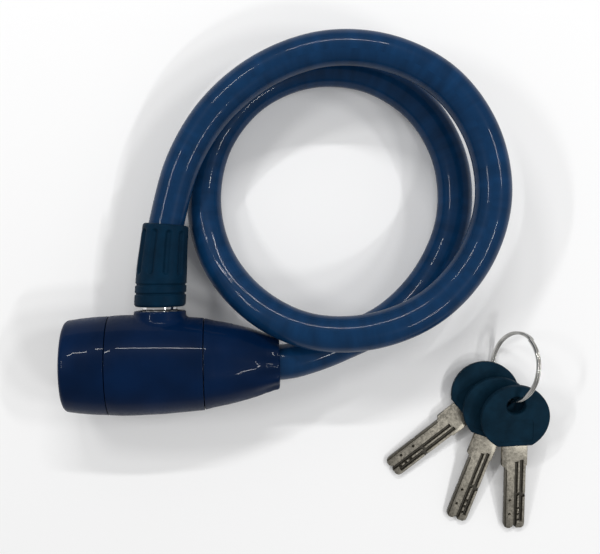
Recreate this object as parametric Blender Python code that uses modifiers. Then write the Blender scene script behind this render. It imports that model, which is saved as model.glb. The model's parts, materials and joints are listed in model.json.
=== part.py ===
"""Key-operated cable lock: a barrel-shaped lock housing, a pull-out plug with a rubber grip, the sheathed
steel cable that joins them in a double loop, and three keys on a split ring.

Sizes are in millimetres and turned into metres by MM. The barrel's axis runs along X at height AXIS_Z over
the surface that the lock lies on, its flat end is at x = 0, and the plug's axis runs along Y at SOCKET_X.
"""

import math

import bmesh
import bpy
from mathutils import Matrix, Vector

MM = 0.001
GAP = 0.3

# Housing, along X
BARREL_R = 17.0
AXIS_Z = BARREL_R
CAVITY_R = 14.2
CAP_LEN = 15.0
SHELL_END = 47.3
BOOT_END = 72.9
BODY_R = CAVITY_R - GAP
BODY_START = 2.6
NECK_R = 10.3
NECK_END = 57.0

# Lock cylinder
PLUG_R = 6.0
PLUG_FACE = -0.6
PLUG_END = 21.2
CYL_NECK_R = 8.0
CYL_R = 11.0
CYL_END = 18.9
CYL_PIN_X = 11.0
CYL_PIN_R = 1.0
KEYWAY_W = 7.8
KEYWAY_T = 2.4
KEYWAY_END = 17.0
PIN_X = [3.9 + 3.5 * i for i in range(4)]
PIN_R = 1.2
DRIVE_E = 2.8
DRIVE_R = 1.0
DRIVE_ANGLE = math.radians(135)

# Socket and plug, along Y
SOCKET_X = 32.6
SOCKET_R = 5.1
SOCKET_END = -8.0
BOSS_R = 8.85
BOSS_TOP = 18.3
SHANK_R = SOCKET_R - GAP
GROOVE_R = 2.8
GROOVE_HALF = 2.2
COLLAR_R = 6.1
GRIP_Y = 19.75
GRIP_TOP = 47.6
FLUTES = 10
FLUTE_ANGLE = -76.0

# Cable
CABLE_R = 6.0
CORE_R = 2.4
FERRULE_R = 5.2
SHEATH_BORE = 3.1
TUBE_POINTS = 66

# Keys and ring
HEAD_R = 11.85
HEAD_T = 2.7
HEAD_OUT = 4.8
HOLE_R = 3.2
BLADE_T = 2.0
RING_R = 11.8
RING_TILT = math.radians(65)
RING_YAW = math.radians(-9)

# The cable's centre line from the boot's mouth to the grip's top
ROUTE = [
    (80.0, 1.2, 16.7),
    (93.4, 5.6, 14.9),
    (112.4, 14.4, 10.9),
    (127.1, 29.2, 7.5),
    (135.3, 48.5, 6.3),
    (134.3, 69.6, 6.1),
    (124.0, 87.9, 6.1),
    (106.2, 99.2, 6.1),
    (85.2, 100.9, 6.1),
    (65.8, 92.8, 6.1),
    (52.4, 76.5, 6.2),
    (47.9, 56.1, 7.8),
    (52.2, 36.2, 13.3),
    (64.4, 20.5, 20.6),
    (82.3, 11.3, 26.2),
    (103.5, 10.9, 27.0),
    (123.1, 18.7, 26.9),
    (137.5, 34.1, 26.7),
    (144.1, 54.1, 26.6),
    (140.9, 75.0, 26.5),
    (129.1, 92.5, 26.2),
    (110.7, 102.7, 25.7),
    (89.7, 104.8, 24.8),
    (69.5, 98.5, 23.3),
    (52.8, 85.7, 21.3),
    (41.4, 68.1, 18.9),
]

# Each key: its hole's centre, then how far its blade turns from -Y towards -X and dips, in degrees
KEYS = [
    ((149.7, -11.1, 4.7), 52.3, 4.4),
    ((150.8, -14.5, 8.65), 20.0, 9.25),
    ((154.05, -16.4, 13.1), -1.9, 14.8),
]
RING_AT = (154.5, -3.5, 11.9)

ALONG_X = Matrix.Rotation(math.radians(90), 4, "Y")
ALONG_Y = Matrix.Rotation(math.radians(-90), 4, "X")


def clear_scene():
    for obj in list(bpy.data.objects):
        bpy.data.objects.remove(obj, do_unlink=True)


def collection(name):
    made = bpy.data.collections.new(name)
    bpy.context.scene.collection.children.link(made)
    return made


clear_scene()
PARTS = collection("cable_lock")
CUTTERS = collection("cutters")
FRAME = bpy.data.objects.new("frame", None)
PARTS.objects.link(FRAME)


def material(name, colour, roughness, metallic=0.0):
    made = bpy.data.materials.new(name)
    made.use_nodes = True
    shader = made.node_tree.nodes["Principled BSDF"]
    shader.inputs["Base Color"].default_value = (*colour, 1.0)
    shader.inputs["Roughness"].default_value = roughness
    shader.inputs["Metallic"].default_value = metallic
    return made


def navy(name, roughness):
    return material(name, (0.010, 0.030, 0.085), roughness)


def steel(name):
    return material(name, (0.62, 0.62, 0.60), 0.25, 1.0)


def at(x, y, z, turn=None):
    """A place in millimetres, with the local Z axis turned along X or Y when turn says so."""
    place = Matrix.Translation(Vector((x, y, z)) * MM)
    return place @ turn if turn else place


def put(name, data, paint, place, cutter=False):
    obj = bpy.data.objects.new(name, data)
    (CUTTERS if cutter else PARTS).objects.link(obj)
    obj.parent = FRAME
    obj.matrix_local = place
    if cutter:
        obj.hide_render = True
        obj.display_type = "WIRE"
    else:
        obj.data.materials.append(paint)
    return obj


def rounded(corners, closed, steps):
    """The corners (x, y, fillet radius) as points, with an arc in place of each corner that has a radius."""
    out = []
    count = len(corners)
    for i, corner in enumerate(corners):
        here = Vector(corner[:2])
        radius = corner[2] if len(corner) > 2 else 0.0
        if radius == 0.0 or (not closed and i in (0, count - 1)):
            out.append(here)
            continue
        before = (Vector(corners[i - 1][:2]) - here).normalized()
        after = (Vector(corners[(i + 1) % count][:2]) - here).normalized()
        half = before.angle(after) / 2
        start = here + before * radius / math.tan(half)
        centre = here + (before + after).normalized() * radius / math.sin(half)
        spoke = start - centre
        sweep = spoke.angle_signed(here + after * radius / math.tan(half) - centre)
        for k in range(steps + 1):
            out.append(centre + Matrix.Rotation(-sweep * k / steps, 2) @ spoke)
    return out


def area(points):
    return sum(a.x * b.y - b.x * a.y for a, b in zip(points, points[1:] + points[:1])) / 2


def turned(name, corners, paint, place, cutter=False, steps=36, arc=2):
    """A turned solid from its half section, (radius, height, fillet), which may start and end on the axis."""
    closed = corners[0][0] > 0 or corners[-1][0] > 0
    points = rounded(corners, closed, arc)
    if area(points) > 0:
        points.reverse()
    edges = [(i, i + 1) for i in range(len(points) - 1)]
    if closed:
        edges.append((len(points) - 1, 0))
    mesh = bpy.data.meshes.new(name)
    mesh.from_pydata([(p.x * MM, 0.0, p.y * MM) for p in points], edges, [])
    obj = put(name, mesh, paint, place, cutter)
    screw = obj.modifiers.new("Turn", "SCREW")
    screw.axis = "Z"
    screw.steps = screw.render_steps = steps
    screw.use_merge_vertices = True
    screw.merge_threshold = 0.00001
    screw.use_smooth_shade = True
    return obj


def rod(name, radius, bottom, top, paint, place, chamfer=0.0, cutter=False, steps=24):
    corners = [(0, top), (radius - chamfer, top), (radius, top - chamfer)]
    corners += [(radius, bottom + chamfer), (radius - chamfer, bottom), (0, bottom)]
    if chamfer == 0.0:
        corners = [(0, top), (radius, top), (radius, bottom), (0, bottom)]
    return turned(name, corners, paint, place, cutter, steps)


def block(name, low, high, paint=None, place=None, bevel=0.0, cutter=False):
    """A box between two corners, in the housing's coordinates with z measured from the barrel's axis."""
    mesh = bpy.data.meshes.new(name)
    low, high = Vector(low), Vector(high)
    shape = bmesh.new()
    bmesh.ops.create_cube(shape, size=1.0)
    bmesh.ops.scale(shape, vec=(high - low) * MM, verts=shape.verts)
    bmesh.ops.translate(shape, vec=(high + low) / 2 * MM, verts=shape.verts)
    shape.to_mesh(mesh)
    shape.free()
    obj = put(name, mesh, paint, place or at(0, 0, AXIS_Z), cutter)
    if bevel:
        edge = obj.modifiers.new("Edges", "BEVEL")
        edge.width = bevel * MM
        edge.segments = 2
    return obj


def plate(name, points, thickness, paint, place, bevel=0.0, cutter=False):
    """A flat piece of even thickness, centred on its own XY plane."""
    mesh = bpy.data.meshes.new(name)
    if area(points) < 0:
        points = points[::-1]
    mesh.from_pydata([(p.x * MM, p.y * MM, 0.0) for p in points], [], [list(range(len(points)))])
    obj = put(name, mesh, paint, place, cutter)
    solid = obj.modifiers.new("Thickness", "SOLIDIFY")
    solid.thickness = thickness * MM
    solid.offset = 0.0
    if bevel:
        edge = obj.modifiers.new("Edges", "BEVEL")
        edge.width = bevel * MM
        edge.segments = 3
        edge.limit_method = "ANGLE"
        edge.angle_limit = math.radians(50)
    return obj


def boolean(obj, other, operation="DIFFERENCE"):
    modifier = obj.modifiers.new(other.name, "BOOLEAN")
    modifier.operation = operation
    modifier.solver = "EXACT"
    modifier.object = other


def cut(obj, *others):
    for other in others:
        boolean(obj, other)


def arc(radius, start, end, count, centre=(0.0, 0.0)):
    angles = [math.radians(start + (end - start) * i / (count - 1)) for i in range(count)]
    return [Vector((centre[0] + radius * math.cos(a), centre[1] + radius * math.sin(a))) for a in angles]


def as_mesh(obj):
    """Replaces a curve object by a mesh object of the same name, place and shape."""
    bpy.context.view_layer.update()
    mesh = bpy.data.meshes.new_from_object(obj.evaluated_get(bpy.context.evaluated_depsgraph_get()))
    shape = bmesh.new()
    shape.from_mesh(mesh)
    bmesh.ops.remove_doubles(shape, verts=shape.verts, dist=0.000001)
    bmesh.ops.recalc_face_normals(shape, faces=shape.faces)
    shape.to_mesh(mesh)
    shape.free()
    name, place = obj.name, obj.matrix_local.copy()
    bpy.data.objects.remove(obj)
    made = bpy.data.objects.new(name, mesh)
    PARTS.objects.link(made)
    made.parent = FRAME
    made.matrix_local = place
    return made


def tube(name, points, radius, paint, sides=2, bore=0.0):
    """A round tube along points in millimetres, hollow when it has a bore."""
    curve = bpy.data.curves.new(name, "CURVE")
    curve.dimensions = "3D"
    curve.bevel_depth = radius * MM
    curve.bevel_resolution = sides
    curve.use_fill_caps = bore == 0.0
    spline = curve.splines.new("POLY")
    spline.points.add(len(points) - 1)
    for spot, p in zip(spline.points, points):
        spot.co = (p[0] * MM, p[1] * MM, p[2] * MM, 1.0)
    obj = put(name, curve, paint, Matrix())
    if not bore:
        return obj
    obj = as_mesh(obj)
    wall = obj.modifiers.new("Wall", "SOLIDIFY")
    wall.thickness = (radius - bore) * MM
    wall.offset = -1.0
    wall.use_even_offset = True
    return obj


def lean(y):
    """How far the plug's rear end leans towards +X at this y, because the cable pulls the soft grip over."""
    s = max(0.0, y - GRIP_Y)
    return 0.055 * s + 0.0013 * s * s


def lean_over(obj):
    """Fixes the object's modifiers into its mesh and leans the mesh over with the grip."""
    bpy.context.view_layer.update()
    mesh = bpy.data.meshes.new_from_object(obj.evaluated_get(bpy.context.evaluated_depsgraph_get()))
    obj.modifiers.clear()
    obj.data = mesh
    for vertex in mesh.vertices:
        vertex.co.x += lean(vertex.co.z / MM) * MM


def smooth_route(points, count):
    """Evenly spaced points on a Catmull-Rom curve through the given ones."""
    ends = [points[0] * 2 - points[1]] + points + [points[-1] * 2 - points[-2]]
    fine = []
    for a, b, c, d in zip(ends, ends[1:], ends[2:], ends[3:]):
        for k in range(12):
            t = k / 12
            fine.append((b * 2 + (c - a) * t + (a * 2 - b * 5 + c * 4 - d) * t * t
                         + (b * 3 - a - c * 3 + d) * t ** 3) / 2)
    fine.append(points[-1])
    lengths = [0.0]
    for a, b in zip(fine, fine[1:]):
        lengths.append(lengths[-1] + (b - a).length)
    out = []
    k = 0
    for i in range(count):
        target = lengths[-1] * i / (count - 1)
        while k < len(fine) - 2 and lengths[k + 1] < target:
            k += 1
        part = (target - lengths[k]) / (lengths[k + 1] - lengths[k])
        out.append(fine[k].lerp(fine[k + 1], min(1.0, part)))
    return out


def cable_line(start_x, end_y, count):
    """The cable's centre line from start_x inside the boot to end_y inside the grip."""
    into_boot = [Vector((x, 0.0, AXIS_Z)) for x in (start_x, 66.0, 72.0)]
    ys = [GRIP_TOP - 1.0, 42.0, end_y]
    into_grip = [Vector((SOCKET_X + lean(y), y, AXIS_Z)) for y in ys]
    return smooth_route(into_boot + [Vector(p) for p in ROUTE] + into_grip, count)


# ---- Housing ----

def end_cap():
    outline = [(8.3, 0), (15.3, 0, 1.9), (16.0, 5), (16.7, CAP_LEN, 0.4), (CAVITY_R, CAP_LEN)]
    outline += [(CAVITY_R, 2.2), (8.3, 2.2)]
    return turned("end_cap", outline, navy("cap_navy", 0.3), at(0, 0, AXIS_Z, ALONG_X), steps=44)


def barrel_shell():
    start = CAP_LEN + GAP
    outline = [(0, start), (16.75, start, 0.4), (17.0, 19), (17.0, 24), (16.65, 34), (16.1, 41)]
    outline += [(15.6, SHELL_END, 0.4), (0, SHELL_END)]
    shell = turned("barrel_shell", outline, navy("barrel_navy", 0.3), at(0, 0, AXIS_Z, ALONG_X), steps=44)
    foot = [(0, BOSS_TOP), (BOSS_R, BOSS_TOP, 0.8), (BOSS_R, 16.2, 2.0), (10.8, 13.2), (10.8, 9), (0, 9)]
    boss = turned("boss", foot, None, at(SOCKET_X, 0, AXIS_Z, ALONG_Y), cutter=True)
    boolean(shell, boss, "UNION")
    cavity = rod("shell_cavity", CAVITY_R, 10, 50, None, at(0, 0, AXIS_Z, ALONG_X), cutter=True, steps=44)
    mouth = rod("boss_mouth", 7.1, 5, 22, None, at(SOCKET_X, 0, AXIS_Z, ALONG_Y), cutter=True, steps=36)
    cut(shell, cavity, mouth)
    return shell


def boot_cone():
    start = SHELL_END + GAP
    outline = [(13.4, start), (15.45, start, 0.4), (14.6, 51.3), (12.9, 59.5), (11.5, 64.9), (10.3, 68.3)]
    outline += [(9.4, 71.2), (9.1, BOOT_END, 1.2), (6.3, BOOT_END), (6.3, 66), (9.0, 64.5), (11.0, 59.5)]
    outline += [(12.6, 51.3)]
    return turned("boot_cone", outline, navy("boot_navy", 0.35), at(0, 0, AXIS_Z, ALONG_X), steps=36)


def lock_body():
    zinc = material("cast_zinc", (0.45, 0.46, 0.47), 0.5, 1.0)
    outline = [(0, BODY_START), (BODY_R, BODY_START), (BODY_R, SHELL_END), (NECK_R, SHELL_END)]
    outline += [(NECK_R, NECK_END), (0, NECK_END)]
    body = turned("lock_body", outline, zinc, at(0, 0, AXIS_Z, ALONG_X), steps=48)
    axis = at(0, 0, AXIS_Z, ALONG_X)
    socket = at(SOCKET_X, 0, AXIS_Z, ALONG_Y)
    pin_line = at(CYL_PIN_X, 0, AXIS_Z - CYL_R, ALONG_Y)
    channel_end = SOCKET_X - GROOVE_R
    cut(
        body,
        rod("cylinder_bore", CYL_R + GAP, -5, CYL_END + GAP, None, axis, cutter=True, steps=48),
        rod("clip_chamber", 8.3, 15, PLUG_END + 0.4, None, axis, cutter=True, steps=32),
        block("bolt_channel", (21.3, -6.6, -6.8), (24.9, 5.3, 20), cutter=True),
        block("tongue_channel", (24.0, -2.2, -0.4), (channel_end, 2.2, 21), cutter=True),
        rod("socket_bore", SOCKET_R, SOCKET_END, 21, None, socket, cutter=True, steps=36),
        rod("bush_bore", 7.1, 10.9, 20, None, socket, cutter=True, steps=32),
        rod("ferrule_bore", FERRULE_R + GAP, 39.9, 60, None, axis, cutter=True, steps=32),
        rod("ferrule_pin_hole", 1.5, -15, 15, None, at(52, 5.4, AXIS_Z), cutter=True, steps=16),
        rod("cylinder_pin_hole", CYL_PIN_R + GAP, -16, 16, None, pin_line, cutter=True, steps=16),
    )
    return body


def socket_bush():
    outline = [(SOCKET_R, 11.2), (6.8, 11.2), (6.8, 18.0, 0.3), (SOCKET_R, 18.0, 0.3)]
    return turned("socket_bush", outline, steel("bush_steel"), at(SOCKET_X, 0, AXIS_Z, ALONG_Y), steps=32)


def cylinder_pin():
    place = at(CYL_PIN_X, 0, AXIS_Z - CYL_R, ALONG_Y)
    return rod("cylinder_pin", CYL_PIN_R, -6.8, 6.8, steel("pin_steel"), place, chamfer=0.2, steps=16)


def ferrule_pin():
    return rod("ferrule_pin", 1.2, -8.3, 8.3, steel("pin_steel"), at(52, 5.4, AXIS_Z), chamfer=0.2, steps=16)


# ---- Lock cylinder ----

def cylinder_shell():
    nickel = material("cylinder_nickel", (0.66, 0.64, 0.60), 0.3, 1.0)
    outline = [(6.3, PLUG_FACE), (CYL_NECK_R, PLUG_FACE, 0.5), (CYL_NECK_R, 2.5), (CYL_R, 2.5)]
    outline += [(CYL_R, CYL_END), (6.3, CYL_END)]
    shell = turned("cylinder_shell", outline, nickel, at(0, 0, AXIS_Z, ALONG_X), steps=36)
    for i, x in enumerate(PIN_X):
        cut(shell, rod(f"chamber_{i + 1}", 1.5, 3, 14, None, at(x, 0, AXIS_Z), cutter=True, steps=16))
    groove = at(CYL_PIN_X, 0, AXIS_Z - CYL_R, ALONG_Y)
    cut(shell, rod("shell_pin_groove", CYL_PIN_R + GAP, -16, 16, None, groove, cutter=True, steps=16))
    return shell


def drive_place():
    y = DRIVE_E * math.cos(DRIVE_ANGLE)
    z = DRIVE_E * math.sin(DRIVE_ANGLE)
    return y, z


def cylinder_plug():
    nickel = material("plug_nickel", (0.70, 0.68, 0.64), 0.25, 1.0)
    outline = [(0, PLUG_FACE), (PLUG_R, PLUG_FACE, 0.3), (PLUG_R, 18.8), (4.7, 18.8), (4.7, 20.3)]
    outline += [(PLUG_R, 20.3), (PLUG_R, PLUG_END), (0, PLUG_END)]
    plug = turned("cylinder_plug", outline, nickel, at(0, 0, AXIS_Z, ALONG_X), steps=36)
    half_w, half_t = KEYWAY_W / 2, KEYWAY_T / 2
    cut(plug, block("keyway", (-3, -half_w, -half_t), (KEYWAY_END, half_w, half_t), cutter=True))
    for i, x in enumerate(PIN_X):
        cut(plug, rod(f"plug_chamber_{i + 1}", 1.5, 0.5, 9, None, at(x, 0, AXIS_Z), cutter=True, steps=16))
    y, z = drive_place()
    hole = at(0, y, AXIS_Z + z, ALONG_X)
    cut(plug, rod("drive_pin_hole", DRIVE_R + GAP, 17.6, 23, None, hole, cutter=True, steps=16))
    return plug


def plug_clip():
    points = arc(7.9, 35, 325, 25) + arc(5.0, 325, 35, 25)
    return plate("plug_clip", points, 0.7, steel("clip_steel"), at(19.55, 0, AXIS_Z, ALONG_X))


def drive_pin():
    y, z = drive_place()
    place = at(0, y, AXIS_Z + z, ALONG_X)
    return rod("drive_pin", DRIVE_R, 17.9, 24.4, steel("pin_steel"), place, chamfer=0.15, steps=20)


def locking_bolt():
    tip = SOCKET_X - GROOVE_R - GAP
    bolt = block("locking_bolt", (21.6, -6.3, -2.5), (24.6, 5.0, 9.1), steel("bolt_steel"))
    boolean(bolt, block("tongue", (23.0, -1.9, 4.1), (tip, 1.9, 9.1), cutter=True), "UNION")
    y, z = drive_place()
    reach = DRIVE_R + GAP
    low = (20, -DRIVE_E - reach, z - reach)
    cut(bolt, block("drive_slot", low, (26, y + reach, z + reach), cutter=True))
    return bolt


def tumblers():
    brass = material("tumbler_brass", (0.72, 0.52, 0.22), 0.35, 1.0)
    wire = steel("spring_steel")
    for i, x in enumerate(PIN_X):
        place = at(x, 0, AXIS_Z)
        key_pin = [(0, 5.8), (1.0, 5.8), (PIN_R, 5.6), (PIN_R, 2.2), (0.5, 1.5), (0, 1.5)]
        turned(f"key_pin_{i + 1}", key_pin, brass, place, steps=16)
        driver = [(0, 8.0), (PIN_R, 8.0), (PIN_R, 6.5), (1.0, 6.35), (0, 6.35)]
        turned(f"driver_pin_{i + 1}", driver, brass, place, steps=16)
        pin_spring(f"pin_spring_{i + 1}", x, wire)


def pin_spring(name, x, wire, turns=3, low=8.4, high=10.8, radius=0.95):
    points = []
    for k in range(turns * 7 + 1):
        angle = 2 * math.pi * k / 7
        height = low + (high - low) * k / (turns * 7)
        points.append((x + radius * math.cos(angle), radius * math.sin(angle), AXIS_Z + height))
    return tube(name, points, 0.2, wire, sides=1)


# ---- Plug, grip and cable ----

def shackle_pin():
    outline = [(0, 27), (2.6, 27), (2.6, 21.4), (COLLAR_R, 21.4, 0.4), (COLLAR_R, 18.6, 0.4), (SHANK_R, 18.6)]
    outline += [(SHANK_R, GROOVE_HALF), (GROOVE_R, GROOVE_HALF), (GROOVE_R, -GROOVE_HALF)]
    outline += [(SHANK_R, -GROOVE_HALF), (SHANK_R, -5.4), (3.6, -6.8), (0, -6.8)]
    chrome = material("pin_chrome", (0.80, 0.80, 0.80), 0.12, 1.0)
    pin = turned("shackle_pin", outline, chrome, at(SOCKET_X, 0, AXIS_Z, ALONG_Y), steps=32)
    lean_over(pin)
    return pin


def plug_ferrule():
    outline = [(2.9, 21.8), (FERRULE_R, 21.8), (FERRULE_R, 28), (FERRULE_R, 36, 0.4), (2.9, 36), (2.9, 28)]
    place = at(SOCKET_X, 0, AXIS_Z, ALONG_Y)
    sleeve = turned("plug_ferrule", outline, steel("ferrule_steel"), place, steps=24)
    lean_over(sleeve)
    return sleeve


def grip_sleeve():
    outline = [(6.4, GRIP_Y), (8.75, GRIP_Y, 1.2), (8.8, 23.7, 0.2), (8.3, 23.9), (8.3, 24.4)]
    outline += [(8.75, 24.6, 0.2), (8.75, 26.8, 0.2), (8.2, 27.0), (8.2, 27.5), (8.6, 27.8, 0.2)]
    outline += [(8.5, 33), (8.1, 40), (7.75, GRIP_TOP, 0.9), (6.35, GRIP_TOP), (6.35, 36), (6.4, 28)]
    rubber = material("grip_rubber", (0.004, 0.030, 0.062), 0.6)
    place = at(SOCKET_X, 0, AXIS_Z, ALONG_Y)
    grip = turned("grip_sleeve", outline, rubber, place, steps=40)
    for i in range(FLUTES):
        turn = Matrix.Rotation(math.radians(FLUTE_ANGLE) + 2 * math.pi * i / FLUTES, 4, "Z")
        tip = Matrix.Translation(Vector((9.05, 0, 0)) * MM)
        flute = [(0, 46.1), (1.15, 45.0), (1.15, 31.4), (0, 30.3)]
        cut(grip, turned(f"flute_{i + 1}", flute, None, place @ turn @ tip, cutter=True, steps=8))
    lean_over(grip)
    return grip


def cable_ferrule():
    outline = [(2.9, 40.2), (FERRULE_R, 40.2, 0.4), (FERRULE_R, 50.3), (3.9, 50.3), (3.9, 53.7)]
    outline += [(FERRULE_R, 53.7), (FERRULE_R, 56.6, 0.4), (2.9, 56.6)]
    return turned("cable_ferrule", outline, steel("ferrule_steel"), at(0, 0, AXIS_Z, ALONG_X), steps=24)


def cable():
    line = cable_line(58.0, 37.0, TUBE_POINTS)
    sheath = tube("cable_sheath", line, CABLE_R, navy("sheath_navy", 0.2), 4, SHEATH_BORE)
    core = tube("cable_core", cable_line(43.0, 28.0, TUBE_POINTS + 4), CORE_R, steel("rope_steel"), 2)
    return sheath, core


# ---- Keys and ring ----

def key_place(hole, yaw, dip):
    turn = Matrix.Rotation(math.radians(-yaw), 4, "Z") @ Matrix.Rotation(math.radians(dip), 4, "X")
    return at(*hole) @ turn


def key(number, hole, yaw, dip):
    """One key, laid out with its ring hole at the origin and its blade along -Y."""
    place = key_place(hole, yaw, dip)
    nickel = material(f"blade_nickel_{number}", (0.70, 0.66, 0.58), 0.3, 1.0)
    flat, step, tip = -15.1, -23.0, -47.0
    outline = [(-3.3, -8.2), (-3.3, flat), (-4.5, flat - 0.1), (-4.5, step + 0.7), (-3.3, step - 0.4)]
    outline += [(-3.3, tip + 1.6), (-2.2, tip), (-0.9, tip), (0.1, tip + 0.9), (1.1, tip), (3.0, tip)]
    outline += [(4.1, tip + 1.6), (4.1, step), (4.5, step + 0.7), (4.5, flat - 0.1), (3.3, flat), (3.3, -8.2)]
    blade = plate(f"key_blade_{number}", [Vector(p) for p in outline], BLADE_T, nickel, place)
    for side in (1, -1):
        low, high = (0.6, tip + 4, 0.45), (2.4, step + 2.5, 3)
        lane = block(f"lane_{number}_{side}", low, high, place=place, cutter=True)
        if side < 0:
            lane.matrix_local = place @ Matrix.Rotation(math.pi, 4, "Y")
        cut(blade, lane)
    for i, (x, y) in enumerate([(-1.6, 5.5), (-1.2, 9.5), (-1.8, 13.5), (-1.3, 17.5)]):
        dimple = [(0, 2.0), (1.6, 2.0), (0, 0.4)]
        spot = place @ at(x, tip + y, 0)
        cut(blade, turned(f"dimple_{number}_{i + 1}", dimple, None, spot, cutter=True, steps=12))

    lowest = math.degrees(math.asin((-flat - HEAD_OUT) / HEAD_R))
    points = arc(HEAD_R, -lowest, 180 + lowest, 45, (0.0, -HEAD_OUT))
    head = plate(f"key_head_{number}", points, HEAD_T, navy(f"head_navy_{number}", 0.45), place, bevel=0.6)
    hole_cutter = rod(f"ring_hole_{number}", HOLE_R, -4, 4, None, place, cutter=True, steps=28)
    pocket = block(f"tang_pocket_{number}", (-3.6, -18, -1.15), (3.6, -7.9, 1.15), place=place, cutter=True)
    cut(head, hole_cutter, pocket)
    return blade, head


def split_ring():
    """Two turns of flat wire, tilted so that it rises through the holes of all three keys."""
    turns, per_turn, pitch = 2, 30, 0.78
    section = bpy.data.curves.new("ring_section", "CURVE")
    section.dimensions = "2D"
    spline = section.splines.new("POLY")
    spline.points.add(3)
    spline.use_cyclic_u = True
    for spot, (x, y) in zip(spline.points, [(-0.55, -0.3), (0.55, -0.3), (0.55, 0.3), (-0.55, 0.3)]):
        spot.co = (x * MM, y * MM, 0.0, 1.0)
    guide = put("ring_section", section, None, Matrix(), cutter=True)
    curve = bpy.data.curves.new("split_ring", "CURVE")
    curve.dimensions = "3D"
    curve.twist_mode = "Z_UP"
    curve.bevel_mode = "OBJECT"
    curve.bevel_object = guide
    curve.use_fill_caps = True
    path = curve.splines.new("POLY")
    path.points.add(turns * per_turn)
    for k, spot in enumerate(path.points):
        angle = math.radians(60) + 2 * math.pi * k / per_turn
        height = pitch * (k / per_turn - turns / 2)
        spot.co = (RING_R * math.cos(angle) * MM, RING_R * math.sin(angle) * MM, height * MM, 1.0)
    tilt = Matrix.Rotation(RING_YAW, 4, "Z") @ Matrix.Rotation(-RING_TILT, 4, "Y")
    return as_mesh(put("split_ring", curve, steel("ring_steel"), at(*RING_AT) @ tilt))


def centre_frame(on_cable):
    """Moves the frame so that the origin is under the middle of all that isn't on the cable."""
    bpy.context.view_layer.update()
    graph = bpy.context.evaluated_depsgraph_get()
    spots = []
    for obj in PARTS.objects:
        if obj == FRAME or obj.name in on_cable:
            continue
        mesh = obj.evaluated_get(graph).to_mesh()
        spots += [obj.matrix_world @ vertex.co for vertex in mesh.vertices]
    for axis in (0, 1):
        values = [spot[axis] for spot in spots]
        FRAME.location[axis] = -(min(values) + max(values)) / 2
    FRAME.location[2] = -min(spot.z for spot in spots)


end_cap()
barrel_shell()
boot_cone()
lock_body()
socket_bush()
cylinder_pin()
ferrule_pin()
cylinder_shell()
cylinder_plug()
plug_clip()
drive_pin()
locking_bolt()
tumblers()
shackle_pin()
plug_ferrule()
grip_sleeve()
cable_ferrule()
cable()
for number, spec in enumerate(KEYS, 1):
    key(number, *spec)
split_ring()
centre_frame({"shackle_pin", "plug_ferrule", "grip_sleeve", "cable_sheath", "cable_core"})
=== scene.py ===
"""Looks for the cable lock: navy housing, rubber grip, glossy sheathed cable, three keys on a split ring.

Lengths are in millimetres and turned into metres by MM, in the housing's own frame: x from its flat end,
y from the barrel's axis, z up from the surface that the lock lies on.
"""

import json
import math

import bmesh
import bpy
from mathutils import Matrix, Vector

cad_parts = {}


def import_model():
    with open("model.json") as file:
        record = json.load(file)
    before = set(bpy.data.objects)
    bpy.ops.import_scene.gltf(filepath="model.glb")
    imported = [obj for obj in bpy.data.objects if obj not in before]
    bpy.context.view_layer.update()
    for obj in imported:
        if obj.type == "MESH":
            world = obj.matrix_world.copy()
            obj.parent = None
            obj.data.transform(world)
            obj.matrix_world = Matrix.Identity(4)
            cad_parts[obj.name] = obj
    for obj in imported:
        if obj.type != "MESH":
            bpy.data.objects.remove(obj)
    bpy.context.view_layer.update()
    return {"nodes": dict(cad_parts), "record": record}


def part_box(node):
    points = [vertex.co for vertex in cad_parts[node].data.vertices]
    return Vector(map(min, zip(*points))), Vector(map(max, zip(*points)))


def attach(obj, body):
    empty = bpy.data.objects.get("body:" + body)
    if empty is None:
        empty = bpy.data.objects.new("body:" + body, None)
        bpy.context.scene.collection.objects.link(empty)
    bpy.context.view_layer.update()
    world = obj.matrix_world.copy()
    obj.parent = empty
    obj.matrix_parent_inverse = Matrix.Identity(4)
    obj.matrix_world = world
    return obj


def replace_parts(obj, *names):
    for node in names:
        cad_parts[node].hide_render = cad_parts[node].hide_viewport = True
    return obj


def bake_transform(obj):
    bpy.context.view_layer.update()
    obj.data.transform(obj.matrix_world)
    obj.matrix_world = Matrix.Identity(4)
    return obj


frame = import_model()
MM = 0.001
TAU = 2 * math.pi

# Where the housing's own frame stands
CAP_LOW, CAP_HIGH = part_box("end_cap")
ORIGIN = Vector((CAP_LOW.x, (CAP_LOW.y + CAP_HIGH.y) / 2, 0.0))
AXIS_Z = (CAP_LOW.z + CAP_HIGH.z) / 2 / MM
SOCKET_X = 32.6
SOCKET_MOUTH_R = 7.2
BOSS_TOP = 18.3
GRIP_Y = 19.75
GRIP_TOP = 47.6
GRIP_BEND_Y = GRIP_Y + 6
LEAN_SLOPE = 0.055
LEAN_CURVE = 0.0013
FLUTES = 10
FLUTE_ANGLE = -76.0
FLUTE_LOW, FLUTE_HIGH = 31.7, 44.6
FLUTE_DEPTH = 0.95
BOOT_FLUTES = 10
BOOT_FLUTES_X = 57.0
BOOT_FLUTE_DEPTH = 0.55
CABLE_R = 6.0
UV_LENGTH = 0.04
STRAND_ANGLE = 38
KEYWAY_DEPTH = 17.0
BLADE_FLAT, BLADE_STEP, BLADE_TIP = -15.1, -23.0, -47.0
BLADE_HALF = 1.0
HEAD_R = 11.85
HEAD_HALF = 1.35
HEAD_Y = -4.8
HEAD_HOLE_R = 3.25
PANEL_DEPTH = 0.18
PANEL_CORNER_R = 1.2
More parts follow.
